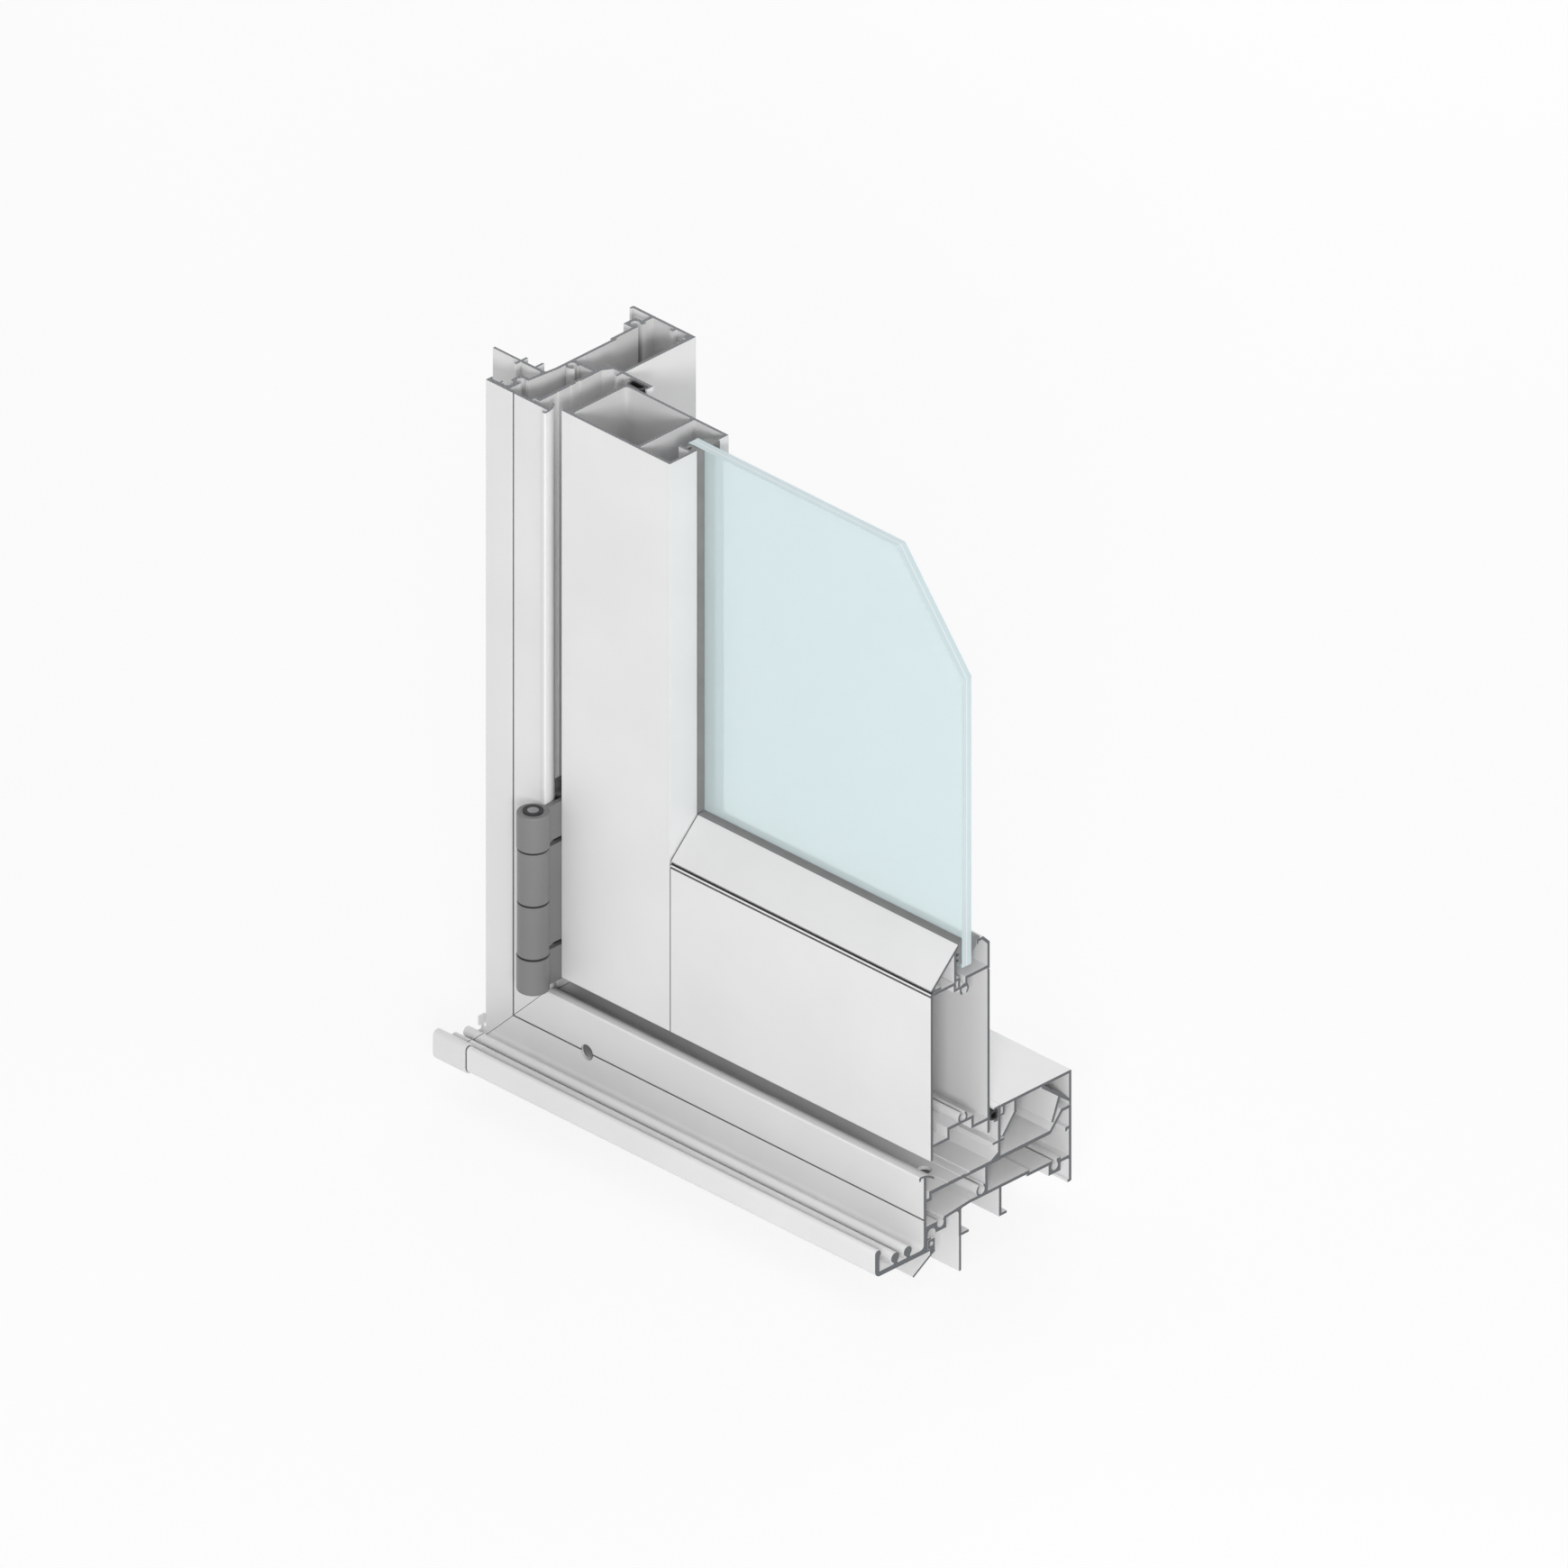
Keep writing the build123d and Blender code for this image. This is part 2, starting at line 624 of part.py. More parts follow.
with BuildPart() as rail:
    with BuildSketch(across(rail_start)):
        # Channels for the rail's corner screws, under the upper web and on the lower one
        step_top = rail_lower_web + panel_wall + rail_step
        rail_port = (snap_back - rail_port_setback, rail_upper_web - rail_port_drop)
        low_port = (rail_channel_y - low_port_setback, step_top + rail_port_radius - 0.4)
        for port, side in ((rail_port, -1), (low_port, 1)):
            with Locations(port):
                Circle(rail_port_radius + rail_port_wall)
            port_bore(port, side, rail_port_radius, rail_port_mouth)
        slab((panel_front, panel_bottom), (panel_front + panel_wall, upper_top))
        slab((panel_back - panel_wall, panel_bottom), (panel_back, rail_upstand))
        # Stepped web above the sill
        slab((panel_front, rail_lower_web), (rail_step_y + panel_wall, rail_lower_web + panel_wall))
        slab((rail_step_y, rail_lower_web), (rail_step_y + panel_wall, step_top))
        slab((rail_step_y, step_top - panel_wall), (rail_channel_y + panel_wall, step_top))
        slab((rail_channel_y, rail_lower_web), (rail_channel_y + panel_wall, step_top))
        slab((rail_channel_y, rail_lower_web), (panel_back, rail_lower_web + panel_wall))
        # Upper web with the slot that the bead snaps into
        slab((panel_front, rail_upper_web), (snap_y + snap_wall, upper_top))
        slab((snap_y, snap_floor), (snap_y + snap_wall, upper_top))
        slab((snap_y, snap_floor), (snap_back, snap_floor + snap_wall))
        slab((snap_back - snap_wall, snap_floor), (snap_back, upper_top + snap_ledge))
        slab((snap_back - snap_wall, rail_upper_web + snap_ledge), (panel_back, upper_top + snap_ledge))
        # Glazing upstand with its canted lip
        lip_front = glass_back + rail_wedge_gap
        lip_back = panel_back - rail_lip_run
        half_wall = panel_wall / 2
        strut((panel_back - half_wall - 0.1, rail_upstand - 0.4),
              (lip_back, rail_lip_height - half_wall), panel_wall)
        slab((lip_front, rail_lip_height - panel_wall), (lip_back + 0.4, rail_lip_height))
        slab((lip_front, rail_lip_height - rail_lip_hook), (lip_front + rail_lip_wall, rail_lip_height))
        # Fine grooves that hide the line of the bead outside and mark the web inside
        with Locations((panel_back, rail_upper_web), (panel_front, rail_upper_web)):
            Rectangle(rail_groove * 1.414, rail_groove * 1.414, rotation=45, mode=Mode.SUBTRACT)
    extrude(amount=sill_run - rail_start)
finish(rail.part, "bottom_rail")

with BuildPart() as bead:
    base = upper_top + bead_seat_gap
    slope_foot = base + bead_reveal
    bead_rise = glazing_stop - panel_front
    bead_top = slope_foot + bead_rise
    with BuildSketch(across(rail_start)):
        inset = bead_wall / 2 ** 1.5
        strut((panel_front + inset - 1, slope_foot - inset - 1),
              (glazing_stop + inset + 1, bead_top - inset + 1), bead_wall)
        slab((panel_front + bead_recess, base), (panel_front + bead_foot_reach, base + bead_reveal))
        slab((panel_front + bead_recess, base),
             (panel_front + bead_recess + bead_wall, slope_foot + bead_wall))
        slab((bead_leg_y, base), (bead_leg_y + bead_wall, bead_top - 2 * bead_wall))
        slab((bead_leg_y, base), (glazing_stop + bead_wall, base + bead_wall))
        slab((-panel_back, base), (panel_front, bead_top + bead_rise), mode=Mode.SUBTRACT)
        slab((glazing_stop, base + bead_wall), (panel_back, bead_top + bead_rise), mode=Mode.SUBTRACT)
        slab((panel_front, base), (panel_front + bead_recess, slope_foot), mode=Mode.SUBTRACT)
        slab((-panel_back, base - bead_rise), (panel_back, base), mode=Mode.SUBTRACT)
        slab((glazing_stop, snap_floor + snap_wall + bead_seat_gap),
             (glazing_stop + bead_wall, base + bead_wall))
    extrude(amount=sill_run - rail_start)
finish(bead.part, "rail_glazing_bead")

with BuildPart() as glass:
    with BuildSketch(Plane(origin=at(0, glass_y, 0), x_dir=(1, 0, 0), z_dir=(0, -1, 0))):
        with BuildLine():
            Polyline((glass_edge_x, glass_bottom), (sill_run, glass_bottom),
                     (sill_run, jamb_rise - glass_cut_drop), (sill_run - glass_cut_run, jamb_rise),
                     (glass_edge_x, jamb_rise), close=True)
        make_face()
    extrude(amount=-glass_thickness)
finish(glass.part, "glass_pane")

with BuildPart() as block:
    block_x = stile_right_x + block_offset
    with Locations(at(block_x, glass_y + glass_thickness / 2, glass_bottom - glass_gap)):
        Box(block_length, glass_thickness, block_pad, align=(Align.CENTER, Align.CENTER, Align.MAX))
finish(block.part, "setting_block")

# Gaskets, mitred at the corner: outer ones show as a canted strip, inner ones wedge against a lip

strip_back = glass_y - glass_gap
strip_front = glazing_stop + bead_seat_gap
shelf_front = glazing_stop - gasket_shelf_gap + bead_seat_gap
outer_mitre = Plane(origin=at(stile_right_x, 0, bead_top), x_dir=(0, 1, 0), z_dir=(-1, 0, 1))
inner_mitre = Plane(origin=at(stile_right_x, 0, rail_lip_height), x_dir=(0, 1, 0), z_dir=(-1, 0, 1))

with BuildPart() as stile_outer_gasket:
    with BuildSketch(level(glass_bottom)):
        stem_x = stile_right_x - strip_stem
        gasket_edge = glass_edge_x + 1.0
        with BuildLine():
            Polyline((gasket_edge, strip_back), (gasket_edge, shelf_front), (stem_x, shelf_front),
                     (stem_x, strip_front), (stile_right_x, strip_front),
                     (stile_right_x + strip_width, strip_back), close=True)
        make_face()
    extrude(amount=jamb_rise - glass_bottom)
    split(bisect_by=outer_mitre.offset(mitre_gap / 2), keep=Keep.TOP)
finish(stile_outer_gasket.part, "stile_outer_gasket")

with BuildPart() as rail_outer_gasket:
    with BuildSketch(across(rail_start)):
        leg_back = bead_leg_y + bead_wall + bead_seat_gap
        gasket_foot = glass_bottom + 1.0
        with BuildLine():
            Polyline((strip_back, gasket_foot), (leg_back, gasket_foot),
                     (leg_back, bead_top - 2 * strip_heel), (strip_front, bead_top - strip_heel),
                     (strip_front, bead_top), (strip_back, bead_top + strip_width), close=True)
        make_face()
    extrude(amount=sill_run - rail_start)
    split(bisect_by=outer_mitre.offset(-mitre_gap / 2), keep=Keep.BOTTOM)
finish(rail_outer_gasket.part, "rail_outer_gasket")

wedge_front = glass_back + glass_gap

with BuildPart() as stile_inner_gasket:
    with BuildSketch(level(glass_bottom)):
        lip_y = glass_back + stile_wedge_gap - glass_gap
        nose_x = stile_right_x + wedge_reach
        with BuildLine():
            over_edge = stile_right_x + glass_gap
            Polyline((stile_right_x - wedge_foot, wedge_front), (stile_right_x - strip_stem, lip_y),
                     (over_edge, lip_y), (over_edge, lip_y + wedge_cover_wall),
                     (nose_x, lip_y + wedge_cover_wall), (nose_x, wedge_front), close=True)
        make_face()
    extrude(amount=jamb_rise - glass_bottom)
    split(bisect_by=inner_mitre.offset(mitre_gap / 2), keep=Keep.TOP)
finish(stile_inner_gasket.part, "stile_inner_gasket")

with BuildPart() as rail_inner_gasket:
    with BuildSketch(across(rail_start)):
        lip_face = lip_front - glass_gap
        over_lip = rail_lip_height + glass_gap
        cover_back = lip_face + wedge_cover
        with BuildLine():
            Polyline((wedge_front, rail_lip_height - wedge_foot),
                     (lip_face, rail_lip_height - rail_lip_hook), (lip_face, over_lip),
                     (cover_back, over_lip), (cover_back, over_lip + wedge_cover_wall),
                     (wedge_front, over_lip + wedge_rise), close=True)
        make_face()
    extrude(amount=sill_run - rail_start)
    split(bisect_by=inner_mitre.offset(-mitre_gap / 2), keep=Keep.BOTTOM)
finish(rail_inner_gasket.part, "rail_inner_gasket")

# Weather seals in the upstand's pocket, pressed by the back of the panel


def seal_section(pocket_height):
    """Bulb seal: a base held in the pocket and a hollow bulb that meets the panel."""
    top = upstand_height - seal_pocket_lip
    low = top - pocket_height
    bulb_back = upstand_y - seal_pocket_depth + glass_gap
    with BuildSketch() as section:
        slab((upstand_y - seal_pocket_depth, low + seal_gap), (upstand_y - seal_gap, top - seal_gap))
        slab((panel_back + glass_gap, low + bulb_inset), (bulb_back, top - bulb_inset))
        slab((panel_back + glass_gap + bulb_wall, low + bulb_inset + bulb_wall),
             (upstand_y - seal_gap - bulb_wall, top - bulb_inset - bulb_wall), mode=Mode.SUBTRACT)
    return section.sketch


with BuildPart() as jamb_seal:
    with BuildSketch(jamb_cut):
        add(seal_section(jamb_pocket_height))
    extrude(amount=jamb_rise - upstand_height)
finish(jamb_seal.part, "jamb_weather_seal")

with BuildPart() as sill_seal:
    with BuildSketch(across(upstand_height)):
        add(seal_section(seal_pocket_height))
    extrude(amount=sill_run - upstand_height)
finish(sill_seal.part, "sill_weather_seal")

# Hinge


def knuckle(low, high, radius):
    """Adds one barrel length round the pin, bored for it."""
    with BuildSketch(level(low)) as ring_face:
        with Locations((hinge_x, hinge_y)):
            Circle(radius)
            Circle(pin_radius + pin_gap, mode=Mode.SUBTRACT)
    extrude(ring_face.sketch, amount=high - low)


def tongue(low, high):
    """Adds the strip that runs from the barrel through the gap between jamb and stile."""
    with BuildSketch(level(low)) as strip_face:
        slab((leaf_x, hinge_y + pin_radius + 1.0), (leaf_x + leaf_thickness, leaf_turn_y + leaf_thickness))
    extrude(strip_face.sketch, amount=high - low)


jamb_leaf_x = upper_web_height + leaf_gap
panel_leaf_x = stile_x - leaf_gap - leaf_thickness
knuckle_mid = (hinge_bottom + hinge_top) / 2
inner_low = hinge_bottom + end_knuckle
inner_high = hinge_top - end_knuckle

with BuildPart() as jamb_leaf:
    lower = (hinge_bottom, inner_low - knuckle_gap / 2)
    upper = (inner_high + knuckle_gap / 2, hinge_top)
    for (low, high), outer_end in ((lower, 0), (upper, -1)):
        knuckle(low, high, knuckle_radius)
        rims = jamb_leaf.edges().filter_by(GeomType.CIRCLE).group_by(Axis.Z)[outer_end]
        fillet(rims.filter_by(lambda rim: rim.radius > bush_radius), knuckle_round)
        tongue(low, high)
        with BuildSketch(level(low)):
            slab((jamb_leaf_x, leaf_turn_y), (leaf_x + leaf_thickness, leaf_turn_y + leaf_thickness))
        extrude(amount=high - low)
    with BuildSketch(level(hinge_bottom)):
        slab((jamb_leaf_x, leaf_turn_y), (jamb_leaf_x + leaf_thickness, leaf_turn_y + leaf_depth))
    extrude(amount=leaf_top - hinge_bottom)
finish(jamb_leaf.part, "hinge_jamb_leaf")

with BuildPart() as panel_leaf:
    for low, high in ((inner_low + knuckle_gap / 2, knuckle_mid - knuckle_gap / 2),
                      (knuckle_mid + knuckle_gap / 2, inner_high - knuckle_gap / 2)):
        knuckle(low, high, inner_knuckle_radius)
    tongue_low, tongue_high = inner_low + tongue_trim, inner_high - tongue_trim
    tongue(tongue_low, tongue_high)
    with BuildSketch(level(tongue_low)):
        slab((leaf_x, leaf_turn_y), (panel_leaf_x + leaf_thickness, leaf_turn_y + leaf_thickness))
    extrude(amount=tongue_high - tongue_low)
    with BuildSketch(level(panel_bottom + leaf_foot_gap)):
        slab((panel_leaf_x, leaf_turn_y), (panel_leaf_x + leaf_thickness, leaf_turn_y + leaf_depth))
    extrude(amount=hinge_top - panel_bottom - 2 * leaf_foot_gap)
finish(panel_leaf.part, "hinge_panel_leaf")

with BuildPart() as pin:
    with BuildSketch(level(hinge_bottom + 0.4)):
        with Locations((hinge_x, hinge_y)):
            Circle(pin_radius)
    extrude(amount=hinge_top - hinge_bottom + 0.2)
finish(pin.part, "hinge_pin")

ring_levels = (inner_low - knuckle_gap / 2, knuckle_mid - knuckle_gap / 2, inner_high - knuckle_gap / 2)
for number, ring_low in enumerate(ring_levels, start=1):
    with BuildPart() as ring:
        with BuildSketch(level(ring_low + ring_wall)):
            with Locations((hinge_x, hinge_y)):
                Circle(inner_knuckle_radius - ring_inset)
                Circle(pin_radius + ring_gap, mode=Mode.SUBTRACT)
            slab((hinge_x - knuckle_radius, hinge_y + pin_radius),
                 (hinge_x + knuckle_radius, hinge_y + knuckle_radius), mode=Mode.SUBTRACT)
        extrude(amount=knuckle_gap - 2 * ring_wall)
    finish(ring.part, f"hinge_ring_{number}")

with BuildPart() as bush:
    with BuildSketch(level(hinge_top + 0.05)):
        with Locations((hinge_x, hinge_y)):
            Circle(bush_radius)
            Circle(pin_radius + ring_gap, mode=Mode.SUBTRACT)
    extrude(amount=bush_flange)
finish(bush.part, "hinge_bush")

os.makedirs("parts", exist_ok=True)
for part, name in parts:
    export_step(part, f"parts/{name}.step")
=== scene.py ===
import bmesh
import bpy
import numpy as np
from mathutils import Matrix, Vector


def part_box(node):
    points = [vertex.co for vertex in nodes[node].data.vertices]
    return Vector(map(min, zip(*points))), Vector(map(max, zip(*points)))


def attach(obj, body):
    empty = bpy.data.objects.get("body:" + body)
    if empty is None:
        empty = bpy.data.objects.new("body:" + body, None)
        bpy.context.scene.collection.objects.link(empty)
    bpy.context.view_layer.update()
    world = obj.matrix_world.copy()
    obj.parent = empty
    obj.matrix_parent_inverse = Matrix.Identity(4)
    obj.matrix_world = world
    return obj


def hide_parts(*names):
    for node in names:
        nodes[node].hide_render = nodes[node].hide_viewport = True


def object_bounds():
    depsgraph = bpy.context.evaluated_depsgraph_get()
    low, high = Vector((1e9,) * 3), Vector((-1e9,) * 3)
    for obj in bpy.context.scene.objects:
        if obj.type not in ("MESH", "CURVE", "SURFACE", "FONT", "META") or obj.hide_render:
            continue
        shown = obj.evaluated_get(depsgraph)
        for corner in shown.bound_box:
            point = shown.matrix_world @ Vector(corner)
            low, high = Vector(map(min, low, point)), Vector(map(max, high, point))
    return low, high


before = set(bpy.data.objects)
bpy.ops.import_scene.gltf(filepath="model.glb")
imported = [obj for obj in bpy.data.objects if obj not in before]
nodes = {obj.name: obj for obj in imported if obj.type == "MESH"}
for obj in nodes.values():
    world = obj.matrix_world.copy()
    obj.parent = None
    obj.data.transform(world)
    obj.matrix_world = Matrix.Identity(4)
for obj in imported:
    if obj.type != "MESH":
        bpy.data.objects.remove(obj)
cad_low, cad_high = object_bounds()
scene = bpy.context.scene

MM = 0.001

# Design sizes are millimetres from the frame's outside corner: x along the sill, y inwards, z up.
# The shift takes them to the record's origin on the sill's nail fin

ROW_SHIFT = np.array([-150.7, -25.7, 9.75])


def design_box(name):
    """Lowest and highest corners of a CAD node, in design millimetres."""
    return [np.array(corner) / MM - ROW_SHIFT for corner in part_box(name)]


sill_low, sill_high = design_box("sill_frame")
stile_low, stile_high = design_box("stile")
rail_low, rail_high = design_box("bottom_rail")
glass_low, glass_high = design_box("glass_pane")

SILL_END, UPSTAND_TOP = sill_high[0], sill_high[2]
NOSE_FRONT = sill_low[1]
STILE_EDGE, PANEL_BACK, JAMB_TOP = stile_high
PANEL_FRONT, PANEL_FOOT = stile_low[1:]
RAIL_START, LIP_TOP = rail_low[0], rail_high[2]
GLASS_FRONT, GLASS_BACK = glass_low[1], glass_high[1]
BEAD_TOP = design_box("rail_glazing_bead")[1][2]
CAP_END = design_box("nose_end_cap")[1][0]

# Places on the solids that no box gives
GLAZING_STOP = 23.6
GROOVE = 18.7
BEAD_JOINT = 144.6
RAIL_SCORE = 142.2
UPSTAND_BACK = 51.1
POCKET_LIP = 1.1

# Rubber stands this far off what it touches, and a mitred gasket this far off its mitre
CLEAR = 0.05
MITRE_GAP = 0.2

scene.view_settings.view_transform = "Standard"


# Camera and light

PHOTO_WIDTH = 1740
PHOTO_PIXELS_PER_MM = 2.28
AZIMUTH, ELEVATION = np.radians((45, 30))
PHOTO_MIDDLE = Vector((0.0045, 0.0243, 0.19385))
CAMERA_DISTANCE = 2.0
DOOR_MIDDLE = Vector((0.0, 0.0, 0.18))

# Name, spot and side length in metres, power in watts. The front lamp stands near the camera's
# line of sight, so that its light reaches into the hollow sections
LAMPS = (
    ("front", (1.6, -1.6, 0.95), 0.5, 25.5),
    ("low", (0.3, -1.8, 0.35), 1.0, 1.5),
    ("fill", (1.6, -0.4, 0.7), 1.4, 3.0),
    ("top", (0.1, 0.1, 1.9), 1.4, 5.5),
    ("back", (-1.0, 1.6, 1.0), 1.4, 11.0),
)


def place(name, data, spot, aim):
    """Object at a spot, turned so that it looks at the aim."""
    thing = bpy.data.objects.new(name, data)
    thing.location = spot
    thing.rotation_mode = "QUATERNION"
    thing.rotation_quaternion = (aim - Vector(spot)).to_track_quat("-Z", "Y")
    scene.collection.objects.link(thing)
    return thing


def place_camera():
    """Parallel camera at the drawing's angle, as wide as the drawing is at its own scale."""
    camera = bpy.data.cameras.new("camera")
    camera.type = "ORTHO"
    camera.ortho_scale = PHOTO_WIDTH / PHOTO_PIXELS_PER_MM * MM
    camera.clip_end = 20.0
    back = Vector((np.cos(ELEVATION) * np.sin(AZIMUTH), -np.cos(ELEVATION) * np.cos(AZIMUTH),
                   np.sin(ELEVATION)))
    scene.camera = place("camera", camera, PHOTO_MIDDLE + back * CAMERA_DISTANCE, PHOTO_MIDDLE)


def place_lamp(name, spot, side, power):
    """Square soft lamp, turned to the middle of the door corner."""
    lamp = bpy.data.lights.new(name, "AREA")
    lamp.shape = "SQUARE"
    lamp.size = side
    lamp.energy = power
    place(name, lamp, spot, DOOR_MIDDLE)


# Materials

def linear(hex_colour):
    """sRGB hex to linear red, green, blue and alpha."""
    parts = np.array([int(hex_colour[i:i + 2], 16) for i in (1, 3, 5)]) / 255
    low, high = parts / 12.92, ((parts + 0.055) / 1.055) ** 2.4
    return (*np.where(parts <= 0.04045, low, high).tolist(), 1.0)


def node(tree, kind, inputs=None, **settings):
    """Adds a shader node. Among its inputs a node stands for its first output, a pair (node,
    output) for that output, and anything else is the socket's value. A Mix node's sockets go by
    number: factor 0, numbers 2 and 3 with result 0, colours 6 and 7 with result 2."""
    made = tree.nodes.new("ShaderNode" + kind)
    for key, value in settings.items():
        setattr(made, key, value)
    for socket, value in (inputs or {}).items():
        if isinstance(value, bpy.types.Node):
            value = (value, 0)
        if isinstance(value, tuple) and isinstance(value[0], bpy.types.Node):
            tree.links.new(value[0].outputs[value[1]], made.inputs[socket])
        else:
            made.inputs[socket].default_value = value
    return made


def new_material(name):
    """Empty node material and its tree."""
    made = bpy.data.materials.new(name)
    made.use_nodes = True
    made.node_tree.nodes.clear()
    return made, made.node_tree


def run_stretch(run, squeeze):
    """Scale that draws a pattern out along the run of an extrusion."""
    return {"x": (squeeze, 1, 1), "z": (1, 1, squeeze)}[run]


def inside_boxes(tree, parts, *boxes):
    """1 inside any of the boxes, 0 outside. A box gives limits in design millimetres by axis; the
    mask is the product of its axes' comparisons, and the largest of all the boxes' products."""
    anywhere = None
    for box in boxes:
        inside = None
        for axis, (low, high) in box.items():
            centre = float((low + high) / 2 + ROW_SHIFT["XYZ".index(axis)]) * MM
            within = node(tree, "Math", {0: (parts, axis), 1: centre, 2: float(high - low) / 2 * MM},
                          operation="COMPARE")
            inside = node(tree, "Math", {0: inside, 1: within}, operation="MULTIPLY") if inside else within
        anywhere = node(tree, "Math", {0: anywhere, 1: inside}, operation="MAXIMUM") if anywhere else inside
    return anywhere


def painted_shade_places(tree, parts, run):
    """1 where shade is painted as dark grey: in the fine groove along the frame's exterior face and, on
    parts that run along the sill, in the recess between the rail and the foot of its glazing bead,
    in the scored line below that, along the seam where both meet the stile, and along the edge of
    the end cap."""
    across = {"x": "Z", "z": "X"}[run]
    groove = {across: (GROOVE - 0.45, GROOVE + 0.45), "Y": (-0.1, 0.9)}
    if run == "z":
        return inside_boxes(tree, parts, groove)
    recess = {"Z": (BEAD_JOINT - 1.0, BEAD_JOINT + 1.0), "Y": (PANEL_FRONT + 0.06, PANEL_FRONT + 1.7)}
    scored = {"Z": (RAIL_SCORE - 0.6, RAIL_SCORE + 0.6), "Y": (PANEL_FRONT + 0.02, PANEL_FRONT + 0.78)}
    seam = {"X": (RAIL_START - 0.15, RAIL_START + 0.45), "Y": (PANEL_FRONT - 0.2, GLAZING_STOP + 0.2),
            "Z": (PANEL_FOOT - 0.2, BEAD_TOP + 0.05)}
    cap_edge = {"X": (CAP_END - 0.05, CAP_END + 0.75), "Y": (NOSE_FRONT - 0.5, NOSE_FRONT + 6.5)}
    return inside_boxes(tree, parts, groove, recess, scored, seam, cap_edge)


def powder_coat(name, colour, shade, rough, run):
    """Powder coat over extruded aluminium: an even matt skin with a fine orange peel, faint die
    lines along the run of the extrusion, painted shade in its grooves, recesses and seams, and where
    it was sawn off bare metal, dulled to grey, with the arcs of the saw."""
    made, tree = new_material(name)
    spot = node(tree, "TexCoord")
    # Orange peel is about 1.5 mm from crest to crest; it is drawn as it is
    peel_size = 1.5 * MM
    # Die lines are 0.5 mm apart and metres long; they are drawn 1.6 mm apart so that they show
    die_line_size = 1.6 * MM
    # The film's thickness drifts over about 60 mm
    cloud_size = 60 * MM
    # Saw arcs are about 0.2 mm apart, from a blade centred well off the piece; they are drawn
    # 0.8 mm apart so that they show
    arc_pitch = 0.8 * MM
    blade_centre = (-0.30, -0.26, -0.24)
    # A face counts as sawn within this depth of the two planes that cut the corner off
    cut_depth = 0.02 * MM

    peel = node(tree, "TexNoise", {"Vector": (spot, "Object"), "Scale": 1 / peel_size,
                                   "Detail": 2.0, "Roughness": 0.5})
    along = node(tree, "Mapping", {"Vector": (spot, "Object"), "Scale": run_stretch(run, 0.01)})
    lines = node(tree, "TexNoise", {"Vector": along, "Scale": 1 / die_line_size,
                                    "Detail": 3.0, "Roughness": 0.6})
    cloud = node(tree, "TexNoise", {"Vector": (spot, "Object"), "Scale": 1 / cloud_size, "Detail": 3.0})
    mottled = node(tree, "MapRange", {"Value": cloud, "From Min": 0.3, "From Max": 0.7})
    paint = node(tree, "Mix", {0: mottled, 6: linear(shade), 7: linear(colour)}, data_type="RGBA")

    parts = node(tree, "SeparateXYZ", {"Vector": (spot, "Object")})
    # Painted shade: the grooves, recesses and seams are mixed to dark grey #555657 for the shade that falls
    # in them
    painted_shade_mask = painted_shade_places(tree, parts, run)
    coat = node(tree, "Mix", {0: painted_shade_mask, 6: (paint, 2), 7: linear("#555657")}, data_type="RGBA")

    end = node(tree, "Math", {0: (parts, "X"), 1: float(cad_high.x) - cut_depth}, operation="GREATER_THAN")
    top = node(tree, "Math", {0: (parts, "Z"), 1: float(cad_high.z) - cut_depth}, operation="GREATER_THAN")
    cut = node(tree, "Math", {0: end, 1: top}, operation="MAXIMUM")
    off = node(tree, "VectorMath", {0: (spot, "Object"), 1: blade_centre}, operation="DISTANCE")
    arcs = node(tree, "Math", {0: (off, "Value"), 1: 2 * np.pi / arc_pitch}, operation="MULTIPLY")
    wave = node(tree, "Math", {0: arcs}, operation="SINE")
    ridge = node(tree, "MapRange", {"Value": wave, "From Min": -1.0})
    bare = node(tree, "Mix", {0: ridge, 6: linear("#585B5E"), 7: linear("#676A6D")}, data_type="RGBA")

    skin = node(tree, "Mix", {0: cut, 6: (coat, 2), 7: (bare, 2)}, data_type="RGBA")
    coat_rough = node(tree, "MapRange", {"Value": peel, "To Min": rough - 0.05, "To Max": rough + 0.07})
    skin_rough = node(tree, "Mix", {0: cut, 2: coat_rough, 3: 0.5})
    metallic = node(tree, "Math", {0: cut, 1: 0.3}, operation="MULTIPLY")
    coat_height = node(tree, "Mix", {0: 0.35, 2: peel, 3: lines})
    height = node(tree, "Mix", {0: cut, 2: coat_height, 3: ridge})
    bump = node(tree, "Bump", {"Height": height, "Strength": 0.35, "Distance": 0.04 * MM})
    shader = node(tree, "BsdfPrincipled", {"Base Color": (skin, 2), "Roughness": skin_rough,
                                           "Metallic": metallic, "Normal": bump})
    node(tree, "OutputMaterial", {"Surface": shader})
    return made


